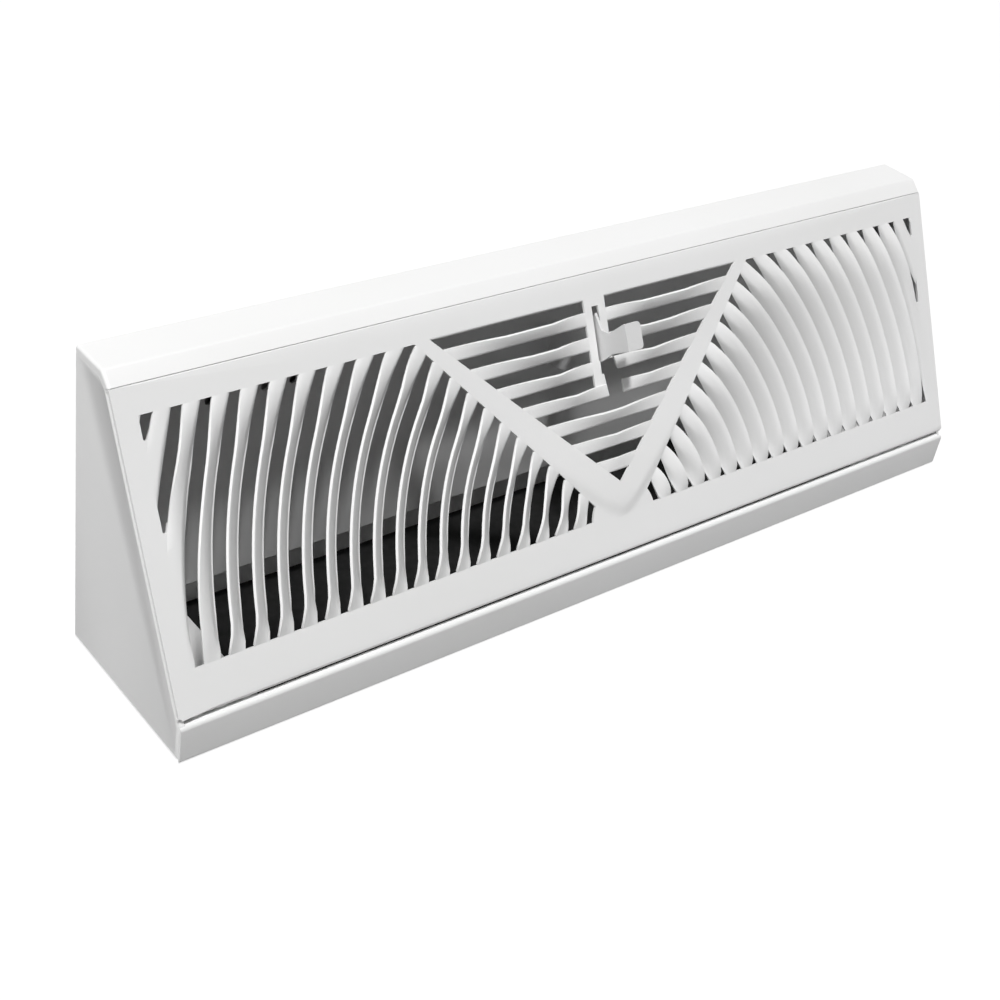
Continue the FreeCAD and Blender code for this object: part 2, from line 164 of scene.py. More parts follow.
# %% [markdown]
# Each cutting line of the pattern is a plane that stands on the plate. A plane is kept as a
# point and a normal that points out of the metal that stays.

# %% Cutting lines
TINY = 1e-7
MERGE_DISTANCE = 0.03 * MM
SORT_LEAN = 0.37


def line(x0, s0, x1, s1):
    """Plane through two places on the plate. What lies left of the way from 0 to 1 is cut off."""
    along = flat(x1, s1) - flat(x0, s0)
    return flat(x0, s0), Vector((-along.y, along.x, 0)).normalized()


def cut(bm, place, normal, clear_outer=False):
    """Cut a mesh along a plane. If asked, what lies on the normal's side is cleared away."""
    geometry = bm.verts[:] + bm.edges[:] + bm.faces[:]
    return bmesh.ops.bisect_plane(
        bm,
        geom=geometry,
        dist=TINY,
        plane_co=place,
        plane_no=normal,
        clear_outer=clear_outer,
    )


def keep_inside(bm, planes):
    """Cut off what lies outside any of the planes, and merge what then lies too close."""
    for place, outwards in planes:
        cut(bm, place, outwards, clear_outer=True)
    # The cuts leave the vertices in no fixed order, and the first of each close group is kept
    bm.verts.sort(key=lambda vert: vert.co.x + SORT_LEAN * vert.co.y)
    bmesh.ops.remove_doubles(bm, verts=bm.verts[:], dist=MERGE_DISTANCE)


def distance_inside(point, planes):
    """How far a point lies from the nearest of the planes, in millimetres."""
    return min(-(point - place).dot(outwards) for place, outwards in planes) / MM


def ease(t):
    """Go from 0 to 1 with a soft start and a soft end."""
    t = min(max(t, 0.0), 1.0)
    return t * t * (3 - 2 * t)


WING = [
    line(WING_INNER_TOP_X, WING_TOP_S, WING_OUTER_X, WING_TOP_S),
    line(WING_OUTER_X, WING_BOTTOM_S, WING_INNER_BOTTOM_X, WING_BOTTOM_S),
    line(WING_INNER_BOTTOM_X, WING_BOTTOM_S, WING_INNER_TOP_X, WING_TOP_S),
]
WING_OUTER = line(WING_OUTER_X, WING_TOP_S, WING_OUTER_X, WING_BOTTOM_S)
VEE_RIGHT = line(VEE_TOP_X, WING_TOP_S, 0, VEE_APEX_S)
VEE_LEFT = line(0, VEE_APEX_S, -VEE_TOP_X, WING_TOP_S)
print("inside the wing:", round(distance_inside(flat(120, 50), WING), 1), "mm from its nearest line")

# %% [markdown]
# The middle of the plate, with its V, is pressed forwards by about a millimetre towards its
# point. The step shows as a soft grey band along the two lower sides and round the apex.
# The same height is added to the plate and to the blades inside the V.

# %% The pressed step round the V
PRESS_HEIGHT = 1.0
PRESS_INNER = 7.8
PRESS_OUTER = 12.2
PRESS_FADE_TOP_S = 42.0
PRESS_FADE_BOTTOM_S = 80.0
PRESS_ROUNDING = 6.0
PRESS_DROP = 3.0
vee_side = math.hypot(1, VEE_SLOPE)


def vee_distance(x, s):
    """How far a place lies outside the V's side lines, rounded at the apex."""
    rounded_x = math.sqrt(x * x + PRESS_ROUNDING ** 2) - PRESS_DROP
    return (rounded_x + VEE_SLOPE * (s - WING_TOP_S) - VEE_TOP_X) / vee_side


def pressed(point):
    """Height of the pressed step at a point."""
    x = point.x / MM
    s = -point.y / MM
    across = (vee_distance(x, s) - PRESS_INNER) / (PRESS_OUTER - PRESS_INNER)
    down = (s - PRESS_FADE_TOP_S) / (PRESS_FADE_BOTTOM_S - PRESS_FADE_TOP_S)
    return PRESS_HEIGHT * MM * (1 - ease(across)) * ease(down)


def press(bm):
    """Raise a flat mesh by the height of the pressed step."""
    for vert in bm.verts:
        vert.co.z += pressed(vert.co)


print("pressed height at the apex:", round(pressed(flat(0, VEE_APEX_S)) / MM, 2), "mm")

# %% [markdown]
# A blade starts as flat sheet, drawn as lines at a distance u from its fold. Lines under the slot
# have a negative u. In mid-span the strip rises and the flap falls, which makes one tilted slat
# of them. The flaps of the straight rows fall steeply and can't be seen from the front. An arch's
# flap is turned up again at its tip. Towards its ends a strip comes down flush with the plate and
# the flap narrows to a rim, so that the slot ends look square. The rim is wider at an arch's lower
# end, and it lies flush there. From the flat louvre on, the last arches don't rise.

# %% Fold of a louvre
FOLD = 0.8
ARCH_FLAP = 3.0
ROW_FLAP = 2.4
TIP = 0.5
ARCH_RISE = math.radians(40)
ARCH_FALL = math.radians(45)
ROW_RISE = math.radians(34)
ROW_FALL = math.radians(82)
TIP_FALL = math.radians(15)
ARCH_ENDS = (20.0, 11.0, 18.0)
OUTER_START = 1.6
OUTER_END = 13.0
FLAT_LOUVRE = 19
ROW_END = 17.0
RIM_SHARE = 0.1
LOW_RIM_SHARE = 0.2
LOW_RIM_START_S = 80.0
FLAP_LINES = [-1.0, -0.92, -0.84, -0.6, -0.3]
FOLD_LINES = [0.0, FOLD / 2, FOLD]
BEND_PARTS = 12


def blade_lines(flap, width):
    """The lines from the flap's tip to the strip's free edge, if the strip is wider than the fold."""
    strip = [(FOLD + width) / 2, width] if width > FOLD else []
    return [share * flap for share in FLAP_LINES] + FOLD_LINES + strip


def settle(distance, length):
    """Share of the full tilt at a distance from the blade's end, quick at first, then levelling."""
    t = min(max(distance / length, 0.0), 1.0)
    return 1 - (1 - t) ** 2


def narrowed(u, share, rim=RIM_SHARE):
    """Bring the flap's lines closer to the fold. Only a rim of the flap is left at the blade's end."""
    return u * (rim + (1 - rim) * share) if u < 0 else u


def bent(u, rise, fall, tip=None):
    """Place (q, h) of the flat sheet's line u. The flap is turned up again beyond its tip line."""
    if u >= FOLD:
        return u * math.cos(rise), u * math.sin(rise)
    q, h = FOLD * math.cos(rise), FOLD * math.sin(rise)
    step = (FOLD - u) / BEND_PARTS
    for part in range(BEND_PARTS):
        way = (part + 0.5) * step
        angle = rise + (fall - rise) * min(way / (2 * FOLD), 1.0)
        if tip is not None and FOLD - way < tip:
            angle = min(angle, TIP_FALL)
        q -= step * math.cos(angle)
        h -= step * math.sin(angle)
    return q, h


flap_end = bent(-ARCH_FLAP, ARCH_RISE, ARCH_FALL, TIP - ARCH_FLAP)
print("end of a mid-span flap:", [round(value, 2) for value in flap_end])

# %% [markdown]
# A louvre is first an open sheet, which is trimmed along the cutting lines and bent. These helpers
# then give it its thickness on the inner side, and break its sheared edges with a small bevel.

# %% From flat sheet to a thick louvre
SHARP = math.radians(55)
EDGE_BREAK = 0.18
ON_THE_LINE = 0.02


def turned_out(bm):
    """Make an open sheet's faces point out of the plate."""
    bm.normal_update()
    if sum(face.normal.z * face.calc_area() for face in bm.faces) < 0:
        bmesh.ops.reverse_faces(bm, faces=bm.faces[:])
    bm.normal_update()


def thicken(bm):
    """Give a sheet its thickness, on its inner side."""
    turned_out(bm)
    bmesh.ops.solidify(bm, geom=bm.faces[:], thickness=SHEET * MM)
    bm.normal_update()


def break_edges(bm, planes):
    """Round the sheared long edges. Ends that run on into the plate stay as they are."""
    chosen = []
    for edge in bm.edges:
        if len(edge.link_faces) == 2 and edge.calc_face_angle() > SHARP:
            middle = (edge.verts[0].co + edge.verts[1].co) / 2
            if distance_inside(middle, planes) > ON_THE_LINE:
                chosen.append(edge)
    bmesh.ops.bevel(
        bm,
        geom=chosen,
        offset=EDGE_BREAK * MM,
        affect="EDGES",
        segments=2,
        profile=0.5,
        material=-1,
        clamp_overlap=True,
    )


def finish_louvre(bm, planes, parts):
    """Thicken a louvre, break its edges and add it to the plate's parts."""
    if not bm.faces:
        bm.free()
        return
    thicken(bm)
    break_edges(bm, planes)
    press(bm)
    mesh = bpy.data.meshes.new("louvre")
    bm.to_mesh(mesh)
    bm.free()
    parts.append(mesh)


# %% [markdown]
# The right wing has 21 slots, so 21 louvres. Each is spun about the arches' centre, from just
# below the horizontal to just past the upright, and trimmed. The left wing will be a mirror image.

# %% Make the wings
ARCH_START = math.radians(-2)
ARCH_SWEEP = math.radians(94)
ARCH_STEPS_PER_MM = 0.45
ARCH_FEWEST_STEPS = 24


def arched_louvre(index):
    """The louvre outside slot number index of the right wing."""
    corner = ARCH_FIRST_RADIUS + index * ARCH_PITCH + ARCH_SLOT / 2
    width = ARCH_PITCH - ARCH_SLOT
    bm = bmesh.new()
    verts = [bm.verts.new(flat(corner + u, ARCH_CENTRE_S)) for u in blade_lines(ARCH_FLAP, width)]
    edges = [bm.edges.new(pair) for pair in zip(verts, verts[1:])]
    centre = flat(0, ARCH_CENTRE_S)
    start_turn = Matrix.Rotation(ARCH_START, 3, "Z")
    bmesh.ops.rotate(bm, cent=centre, matrix=start_turn, verts=verts)
    steps = max(ARCH_FEWEST_STEPS, int(corner * ARCH_STEPS_PER_MM))
    bmesh.ops.spin(
        bm,
        geom=verts + edges,
        cent=centre,
        axis=(0, 0, 1),
        angle=ARCH_SWEEP,
        steps=steps,
    )
    keep_inside(bm, WING + [WING_OUTER])
    full_rise = ARCH_RISE if index < FLAT_LOUVRE else 0.0

    def share_at(place):
        share = settle(distance_inside(place, [WING_OUTER]) - OUTER_START, OUTER_END)
        for plane, length in zip(WING, ARCH_ENDS):
            share *= settle(distance_inside(place, [plane]), length)
        return share

    for vert in bm.verts:
        arm = vert.co - centre
        radius = math.hypot(arm.x, arm.y) / MM
        flap_tip = centre + arm * ((corner - ARCH_FLAP) / radius)
        below = -vert.co.y / MM - LOW_RIM_START_S
        low = ease(below / (WING_BOTTOM_S - LOW_RIM_START_S))
        rim = RIM_SHARE + (LOW_RIM_SHARE - RIM_SHARE) * low
        u = narrowed(radius - corner, share_at(flap_tip), rim)
        share = share_at(vert.co)
        fall = ARCH_FALL * (1 - low * (1 - share))
        q, h = bent(u, full_rise * share, fall, TIP - ARCH_FLAP)
        scale = (corner + q) / radius
        vert.co = Vector((arm.x * scale, centre.y + arm.y * scale, h * MM))
    return bm


wing_parts = []
for number in range(ARCH_COUNT):
    finish_louvre(arched_louvre(number), WING + [WING_OUTER], wing_parts)
print("louvres in the right wing:", len(wing_parts))

# %% [markdown]
# In the V, the upper four rows are divided by two bars with the lever's slot between them. On the
# right a pocket is cut below the bars, and two blades end free beside it. Every straight louvre is
# pushed out along x, over more than its length, and cut off at its own planes.

# %% Make the rows
ROW_STEP = 2
ROW_REACH = 80
DIVIDED_ROWS = 4
LEVER_SLOT_TOP_S = 12.3
LEVER_SLOT_BOTTOM_S = 32.4
POCKET_STEP_S = 37.4
POCKET_WAIST_S = 41.34
POCKET_FLOOR_S = 46.27
POCKET_STEP_LEFT_X = -1.1
POCKET_NECK_LEFT_X = -0.1
POCKET_WAIST_LEFT_X = 0.43
POCKET_FLOOR_LEFT_X = 1.1
POCKET_MIDDLE_X = 4
POCKET_TOP_RIGHT_X = 5.9
POCKET_RIGHT_X = 8.4
BELOW_BARS_S = 60

LEFT_BAR = line(-BAR_OUTER_X, 0, -BAR_OUTER_X, BELOW_BARS_S)
RIGHT_BAR = line(BAR_OUTER_X, BELOW_BARS_S, BAR_OUTER_X, 0)
POCKET_UPPER = line(POCKET_RIGHT_X, POCKET_WAIST_S, POCKET_TOP_RIGHT_X, LEVER_SLOT_BOTTOM_S)
POCKET_RIGHT = line(POCKET_RIGHT_X, BELOW_BARS_S, POCKET_RIGHT_X, 0)
POCKET_LEFT = line(POCKET_WAIST_LEFT_X, POCKET_WAIST_S, POCKET_FLOOR_LEFT_X, POCKET_FLOOR_S)


def straight_louvre(top_s, width, rise, planes, x0, x1):
    """Strip above the slot whose upper edge is at top_s, with the slot's flap."""
    bm = bmesh.new()
    verts = [bm.verts.new(flat(x0, top_s - u)) for u in blade_lines(ROW_FLAP, width)]
    edges = [bm.edges.new(pair) for pair in zip(verts, verts[1:])]
    steps = max(2, int((x1 - x0) / ROW_STEP))
    step = Vector(((x1 - x0) / steps * MM, 0, 0))
    for _ in range(steps):
        made = bmesh.ops.extrude_edge_only(bm, edges=edges)["geom"]
        edges = [part for part in made if isinstance(part, bmesh.types.BMEdge)]
        moving = [part for part in made if isinstance(part, bmesh.types.BMVert)]
        bmesh.ops.translate(bm, verts=moving, vec=step)
    keep_inside(bm, planes)
    for vert in bm.verts:
        x = vert.co.x / MM
        tip_share = settle(distance_inside(flat(x, top_s + ROW_FLAP), planes), ROW_END)
        share = min(max(distance_inside(vert.co, planes) / ROW_END, 0.0), 1.0)
        q, h = bent(narrowed(top_s + vert.co.y / MM, tip_share), rise * share, ROW_FALL)
        vert.co = flat(x, top_s - q, h)
    return bm


row_parts = []
strip_width = ROW_PITCH - ROW_SLOT
for row in range(ROW_COUNT):
    slot_top = WING_TOP_S + row * ROW_PITCH
    strip = strip_width if row else FOLD
    rise = ROW_RISE if row else 0
    if row < DIVIDED_ROWS:
        inner_right = RIGHT_BAR if row < DIVIDED_ROWS - 1 else POCKET_UPPER
        spans = [
            ([VEE_LEFT, LEFT_BAR], -ROW_REACH, 0),
            ([VEE_RIGHT, inner_right], 0, ROW_REACH),
        ]
    elif row == DIVIDED_ROWS:
        spans = [
            ([VEE_LEFT, POCKET_LEFT], -ROW_REACH, POCKET_MIDDLE_X),
            ([VEE_RIGHT, POCKET_RIGHT], POCKET_MIDDLE_X, ROW_REACH),
        ]
    else:
        spans = [([VEE_LEFT, VEE_RIGHT], -ROW_REACH, ROW_REACH)]
    for planes, x0, x1 in spans:
        louvre = straight_louvre(slot_top, strip, rise, planes, x0, x1)
        finish_louvre(louvre, planes, row_parts)
print("louvres in the V:", len(row_parts))

# %% [markdown]
# The plate round the louvres is a flat outline with three holes. Filling between the outlines
# makes its faces. A wing's hole follows its cutting lines, apart from its outer side, where the
# last two slots end in rounded tips, and its inner lower corner, where the first slot ends.

# %% Make the plate round the louvres
TIP_RADIUS = 0.7
TIP_STEPS = 6
SIDE_STEPS = 5
LAST_SLOT = ARCH_COUNT - 1
LAST_TIP_S = 17.6
LAST_SIDE_S = 14.5
LONG_SLOT = ARCH_COUNT - 2
LONG_TIP_S = 46.5
LONG_SIDE_S = 43.5
FIRST_SIDE_END_S = 84.41
FIRST_SIDE_STEPS = 8


def outline(bm, points):
    """Closed loop of edges through flat points."""
    verts = [bm.verts.new(flat(x, s)) for x, s in points]
    return [bm.edges.new((verts[i - 1], verts[i])) for i in range(len(verts))]


def arc_place(radius, s):
    """Place on an arc about the arches' centre."""
    return math.sqrt(radius ** 2 - (ARCH_CENTRE_S - s) ** 2), s


def rounded_tip(slot, tip_s, start_s):
    """Outline of an outer slot's tip, from the wing's side line round to the slot's inner edge."""
    radius = ARCH_FIRST_RADIUS + slot * ARCH_PITCH - ARCH_SLOT / 2
    middle_x = WING_OUTER_X - TIP_RADIUS
    curve = []
    for step in range(TIP_STEPS + 1):
        turn = math.pi * step / TIP_STEPS
        x = middle_x + TIP_RADIUS * math.cos(turn)
        curve.append((x, tip_s - TIP_RADIUS + TIP_RADIUS * math.sin(turn)))
    meet_s = ARCH_CENTRE_S - math.sqrt(radius ** 2 - WING_OUTER_X ** 2)
    for step in range(SIDE_STEPS + 1):
        curve.append(arc_place(radius, start_s + (meet_s - start_s) * step / SIDE_STEPS))
    return curve


first_side = []
for step in range(FIRST_SIDE_STEPS + 1):
    s = WING_BOTTOM_S + (FIRST_SIDE_END_S - WING_BOTTOM_S) * step / FIRST_SIDE_STEPS
    first_side.append(arc_place(arch_first_inner, s))
wing_hole = [
    (WING_INNER_TOP_X, WING_TOP_S),
    (WING_OUTER_X, WING_TOP_S),
    *rounded_tip(LAST_SLOT, LAST_TIP_S, LAST_SIDE_S),
    *rounded_tip(LONG_SLOT, LONG_TIP_S, LONG_SIDE_S),
    (WING_OUTER_X, WING_BOTTOM_S),
    *first_side,
]
first_gap = distance_inside(flat(*first_side[-1]), WING)
print("the first slot's side ends", round(first_gap, 2), "mm from the line")
row_top = WING_TOP_S - FOLD
vee_top_x = VEE_TOP_X + VEE_SLOPE * FOLD
vee_hole = [
    (-vee_top_x, row_top),
    (-BAR_OUTER_X, row_top),
    (-BAR_OUTER_X, POCKET_WAIST_S),
    (POCKET_WAIST_LEFT_X, POCKET_WAIST_S),
    (POCKET_NECK_LEFT_X, POCKET_STEP_S),
    (POCKET_STEP_LEFT_X, POCKET_STEP_S),
    (POCKET_STEP_LEFT_X, LEVER_SLOT_BOTTOM_S),
    (-BAR_INNER_X, LEVER_SLOT_BOTTOM_S),
    (-BAR_INNER_X, LEVER_SLOT_TOP_S),
    (BAR_INNER_X, LEVER_SLOT_TOP_S),
    (BAR_INNER_X, LEVER_SLOT_BOTTOM_S),
    (BAR_OUTER_X, LEVER_SLOT_BOTTOM_S),
    (BAR_OUTER_X, row_top),
    (vee_top_x, row_top),
    (0, VEE_APEX_S),
]
plate = bmesh.new()
rim = [
    (-plate_half, PLATE_TOP_S),
    (plate_half, PLATE_TOP_S),
    (plate_half, PLATE_BOTTOM_S),
    (-plate_half, PLATE_BOTTOM_S),
]
loops = outline(plate, rim) + outline(plate, wing_hole) + outline(plate, vee_hole)
loops += outline(plate, [(-x, s) for x, s in wing_hole])
bmesh.ops.triangle_fill(plate, use_beauty=True, use_dissolve=False, edges=loops)
print("faces of the flat plate:", len(plate.faces))

# %% [markdown]
# The filled plate has few vertices of its own. Cuts beside the V, a little wider than the pressed
# step, and cuts across the plate where the step fades let it bend smoothly.

# %% Cut the plate along the pressed step
PRESS_BANDS = 6
PRESS_MARGIN = 1
PRESS_CUT_PITCH = 4
for part in range(PRESS_BANDS + 1):
    band_width = PRESS_OUTER - PRESS_INNER + 2 * PRESS_MARGIN
    away = PRESS_INNER - PRESS_MARGIN + band_width * part / PRESS_BANDS
    shift = away * vee_side
    for right in (-1, 1):
        start = flat(right * (VEE_TOP_X + shift), WING_TOP_S)
        end = flat(0, WING_TOP_S + (VEE_TOP_X + shift) / VEE_SLOPE)
        normal = (end - start).cross(Vector((0, 0, 1))).normalized()
        cut(plate, start, normal)
for s in range(int(PRESS_FADE_TOP_S), int(PLATE_BOTTOM_S), PRESS_CUT_PITCH):
    cut(plate, flat(0, s), (0, 1, 0))
print("faces after the cuts:", len(plate.faces))

# %% [markdown]
# The plate's top and bottom edges are folded back into the casing. The fold at the top is tight,
# and the one at the bottom is rounder.

# %% Fold the plate's returns and thicken it
FOLD_RADII = {PLATE_TOP_S: 0.4, PLATE_BOTTOM_S: 1.1}


def lies_at(edge, s):
    """Whether an edge of the flat plate lies at one distance down the slope."""
    return all(abs(vert.co.y + s * MM) < TINY for vert in edge.verts)


press(plate)
turned_out(plate)
for edge_s in FOLD_RADII:
    folded = [edge for edge in plate.edges if edge.is_boundary and lies_at(edge, edge_s)]
    made = bmesh.ops.extrude_edge_only(plate, edges=folded)["geom"]
    moving = [part for part in made if isinstance(part, bmesh.types.BMVert)]
    bmesh.ops.translate(plate, verts=moving, vec=flat(0, 0, -PLATE_RETURN))
bmesh.ops.recalc_face_normals(plate, faces=plate.faces[:])
thicken(plate)
folds = {edge_s: [] for edge_s in FOLD_RADII}
for edge in plate.edges:
    outer = all(vert.co.z > -TINY for vert in edge.verts)
    if outer and len(edge.link_faces) == 2 and edge.calc_face_angle() > SHARP:
        for edge_s, chosen in folds.items():
            if lies_at(edge, edge_s):
                chosen.append(edge)
for edge_s, radius in FOLD_RADII.items():
    bmesh.ops.bevel(
        plate,
        geom=folds[edge_s],
        offset=radius * MM,
        affect="EDGES",
        segments=4,
        profile=0.5,
        material=-1,
        clamp_overlap=True,
    )
print("fold edges:", [len(chosen) for chosen in folds.values()])

# %% [markdown]
# Plate and louvres become one piece. Its flat axes are turned onto the slope in the same step.

# %% Join the plate and its louvres
for mesh in row_parts + wing_parts:
    plate.from_mesh(mesh)
mirror = Matrix.Scale(-1, 4, (1, 0, 0))
for mesh in wing_parts:
    mesh.transform(mirror)
    mesh.flip_normals()
    plate.from_mesh(mesh)
bmesh.ops.transform(plate, matrix=SLOPE, verts=plate.verts[:])
louvred_plate = piece_from(plate, "louvred_plate", "casing", "plate_enamel", "face_plate")
for mesh in row_parts + wing_parts:
    bpy.data.meshes.remove(mesh)

# %% [markdown]
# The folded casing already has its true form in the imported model. A copy of each sheet is merged
# into one surface, its edges are broken a little as paint does, and its bends are shaded smooth.

# %% Finish the folded sheets
NODE_MERGE = 2e-6
SAME_PLANE = math.radians(0.5)
PAINTED_CORNER = math.radians(50)
PAINTED_EDGE = 0.15
LEVER_EDGE = 0.2
SHEET_COPIES = {
    "hood": "hood_cover",
    "left_end": "left_end_panel",
    "right_end": "right_end_panel",
    "front_rail": "floor_rail",
    "back_panel": "wall_panel",
}


def soften(piece, edge):
    """Round a piece's sharp edges a little, as its paint does."""
    bevel = piece.modifiers.new("broken_edges", "BEVEL")
    bevel.width = edge * MM
    bevel.segments = 2
    bevel.limit_method = "ANGLE"
    bevel.angle_limit = PAINTED_CORNER
    bevel.harden_normals = True


def finished_copy(node, name, slot_name, edge):
    """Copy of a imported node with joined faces, softened edges and smooth bends."""
    bm = bmesh.new()
    bm.from_mesh(frame["nodes"][node].data)
    bmesh.ops.remove_doubles(bm, verts=bm.verts[:], dist=NODE_MERGE)
    bmesh.ops.dissolve_limit(bm, angle_limit=SAME_PLANE, verts=bm.verts[:], edges=bm.edges[:])
    body = frame["nodes"][node]["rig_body"]
    piece = piece_from(bm, name, body, slot_name, node)
    soften(piece, edge)
    return piece


casing = []
for node, name in SHEET_COPIES.items():
    casing.append(finished_copy(node, name, "casing_enamel", PAINTED_EDGE))
lever = finished_copy("damper_lever", "finger_lever", "damper_enamel", LEVER_EDGE)
print("finished copies:", len(casing) + 1)

# %% [markdown]
# The damper's blade is one sheet, rolled round the hinge rod at its top. Its lower edge is folded
# flat, which stiffens it. Seen through the louvres its front is smooth, so the fold lies behind:
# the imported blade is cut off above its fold, and a new fold is set under it.

# %% Make the swing blade
FOLD_HEIGHT = 3.0
FOLD_DEPTH = 1.8
FOLD_ROUNDING = 0.8
CUT_ABOVE_FOLD = 0.01
blade_low, blade_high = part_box("damper_blade")
blade = bmesh.new()
blade.from_mesh(frame["nodes"]["damper_blade"].data)
bmesh.ops.remove_doubles(blade, verts=blade.verts[:], dist=NODE_MERGE)
cut_z = blade_low.z + (FOLD_HEIGHT + CUT_ABOVE_FOLD) * MM
made = cut(blade, (0, 0, cut_z), (0, 0, -1), clear_outer=True)
cut_edges = [part for part in made["geom_cut"] if isinstance(part, bmesh.types.BMEdge)]
front_y = min(edge.verts[0].co.y for edge in cut_edges)
bmesh.ops.holes_fill(blade, edges=cut_edges, sides=0)
fold = bmesh.ops.create_cube(blade, size=1)["verts"]
width = blade_high.x - blade_low.x
bmesh.ops.scale(blade, vec=(width, FOLD_DEPTH * MM, FOLD_HEIGHT * MM), verts=fold)
middle = Vector((0, front_y + FOLD_DEPTH * MM / 2, blade_low.z + FOLD_HEIGHT * MM / 2))
bmesh.ops.translate(blade, vec=middle, verts=fold)
under = []
fold_edges = [edge for edge in blade.edges if all(vert in fold for vert in edge.verts)]
for edge in fold_edges:
    start, end = (vert.co for vert in edge.verts)
    lowest = max(start.z, end.z) - blade_low.z < TINY
    if lowest and abs(start.x - end.x) > width / 2:
        under.append(edge)
bmesh.ops.bevel(
    blade,
    geom=under,
    offset=FOLD_ROUNDING * MM,
    affect="EDGES",
    segments=4,
    profile=0.5,
    material=-1,
)
bmesh.ops.dissolve_limit(
    blade,
    angle_limit=SAME_PLANE,
    verts=blade.verts[:],
    edges=blade.edges[:],
)
swing_blade = piece_from(blade, "swing_blade", "damper", "damper_enamel", "damper_blade")
soften(swing_blade, PAINTED_EDGE)
print("blade's front at y", round(front_y / MM, 2), "edges rounded below:", len(under))

# %% [markdown]
# All the sheets have a stoved enamel, white on the casing. The damper's is the same white, made
# greyer as painted shade, since it stands in shade inside the casing. The enamel is not perfectly
# even: it has a faint orange peel, slightly duller patches, and it is a touch warmer in places.
# Noise on object coordinates gives all three, so the pattern stays on the metal.

# %% White enamel and its grey copy, painted shade for the damper
TINT_SCALE = 9.0
DULL_SCALE = 35.0
PEEL_SCALE = 900.0
PEEL_DEPTH = 0.1 * MM


def node_material(name):
    """New material and its own shader."""
    material = bpy.data.materials.new(name)
    material.use_nodes = True
    shader = material.node_tree.nodes["Principled BSDF"]
    return material, shader


def wire(material, source, target):
    """Link one socket of a material's nodes to another."""
    material.node_tree.links.new(source, target)


def noise(material, scale, detail=2.0):
    """Noise that stays on the metal, because it follows the object's own coordinates."""
    tree = material.node_tree
    place = tree.nodes.new("ShaderNodeTexCoord")
    texture = tree.nodes.new("ShaderNodeTexNoise")
    texture.inputs["Scale"].default_value = scale
    texture.inputs["Detail"].default_value = detail
    wire(material, place.outputs["Object"], texture.inputs["Vector"])
    return texture


def ramp(material, source, low, high):
    """Map a noise to a range of colours or greys."""
    node = material.node_tree.nodes.new("ShaderNodeValToRGB")
    node.color_ramp.elements[0].position = 0.3
    node.color_ramp.elements[1].position = 0.7
    node.color_ramp.elements[0].color = (*low, 1)
    node.color_ramp.elements[1].color = (*high, 1)
    wire(material, source.outputs["Fac"], node.inputs["Fac"])
    return node


def enamel(name, low, high, roughness, peel):
    """Stoved enamel between two whites. Peel is the strength of its fine orange peel."""
    material, shader = node_material(name)
    tint = ramp(material, noise(material, TINT_SCALE), low, high)
    wire(material, tint.outputs["Color"], shader.inputs["Base Color"])
    patches = noise(material, DULL_SCALE, 4.0)
    dull = ramp(material, patches, [roughness - 0.04] * 3, [roughness + 0.05] * 3)
    wire(material, dull.outputs["Color"], shader.inputs["Roughness"])
    bump = material.node_tree.nodes.new("ShaderNodeBump")
    bump.inputs["Strength"].default_value = peel
    bump.inputs["Distance"].default_value = PEEL_DEPTH
    wire(material, noise(material, PEEL_SCALE, 1.0).outputs["Fac"], bump.inputs["Height"])
    wire(material, bump.outputs["Normal"], shader.inputs["Normal"])
    return material


white_enamel = enamel("white_enamel", (0.86, 0.86, 0.855), (0.885, 0.885, 0.885), 0.42, 0.25)
# The damper's grey is painted shade: the same white enamel, darkened for where it sits in shade.
damper_enamel = enamel("blade_painted_shade", (0.70, 0.70, 0.70), (0.74, 0.74, 0.74), 0.5, 0.2)
print("enamels:", white_enamel.name, damper_enamel.name)

# %% [markdown]
# The hinge rod is zinc plated steel, a little uneven in its grey.

# %% Zinc of the hinge rod
ZINC_SCALE = 400.0


def metal(name, low, high, roughness):
    """Bare metal between two greys."""
    material, shader = node_material(name)
    tint = ramp(material, noise(material, ZINC_SCALE, 3.0), low, high)
    wire(material, tint.outputs["Color"], shader.inputs["Base Color"])
    shader.inputs["Metallic"].default_value = 1.0
    shader.inputs["Roughness"].default_value = roughness
    return material


zinc = metal("zinc", (0.45, 0.46, 0.48), (0.58, 0.59, 0.61), 0.35)
print("metal:", zinc.name)

# %% [markdown]
# The casing and its plate get the white enamel, the damper and its lever the greyer copy, whose
# grey is painted shade. The three pieces that have no finished copy are painted as they are.


# %% Give every piece its material
def paint(piece, material):
    """Give a piece one material in place of what it has."""
    piece.data.materials.clear()
    piece.data.materials.append(material)


for piece in (louvred_plate, *casing):
    paint(piece, white_enamel)
# The damper and its lever get the painted-shade grey in place of their white.
for piece in (swing_blade, lever):
    paint(piece, damper_enamel)
plain_nodes = {
    "right_hinge_bracket": white_enamel,
    "left_hinge_bracket": white_enamel,
    "hinge_rod": zinc,
}
for name, material in plain_nodes.items():
    paint(frame["nodes"][name], material)
print("painted", len(plain_nodes) + len(casing) + 3, "pieces")

# %% [markdown]
# The stage is a wide pale floor. To the camera it gives off some light of its own, so that it
# goes to white as studio paper does, and it keeps the outlet's shadow.

# %% Floor
FLOOR_SIZE = 12
FLOOR_GREY = 0.26
FLOOR_GLOW = 0.76


def seen_directly(tree):
    """1 for rays from the camera, off gloss or through glass, and 0 for the light on surfaces."""
    rays = tree.nodes.new("ShaderNodeLightPath")
    first = tree.nodes.new("ShaderNodeMath")
    second = tree.nodes.new("ShaderNodeMath")
    for node in (first, second):
        node.operation = "MAXIMUM"
    tree.links.new(rays.outputs["Is Camera Ray"], first.inputs[0])
    tree.links.new(rays.outputs["Is Glossy Ray"], first.inputs[1])
    tree.links.new(first.outputs[0], second.inputs[0])
    tree.links.new(rays.outputs["Is Transmission Ray"], second.inputs[1])
    return second.outputs[0]


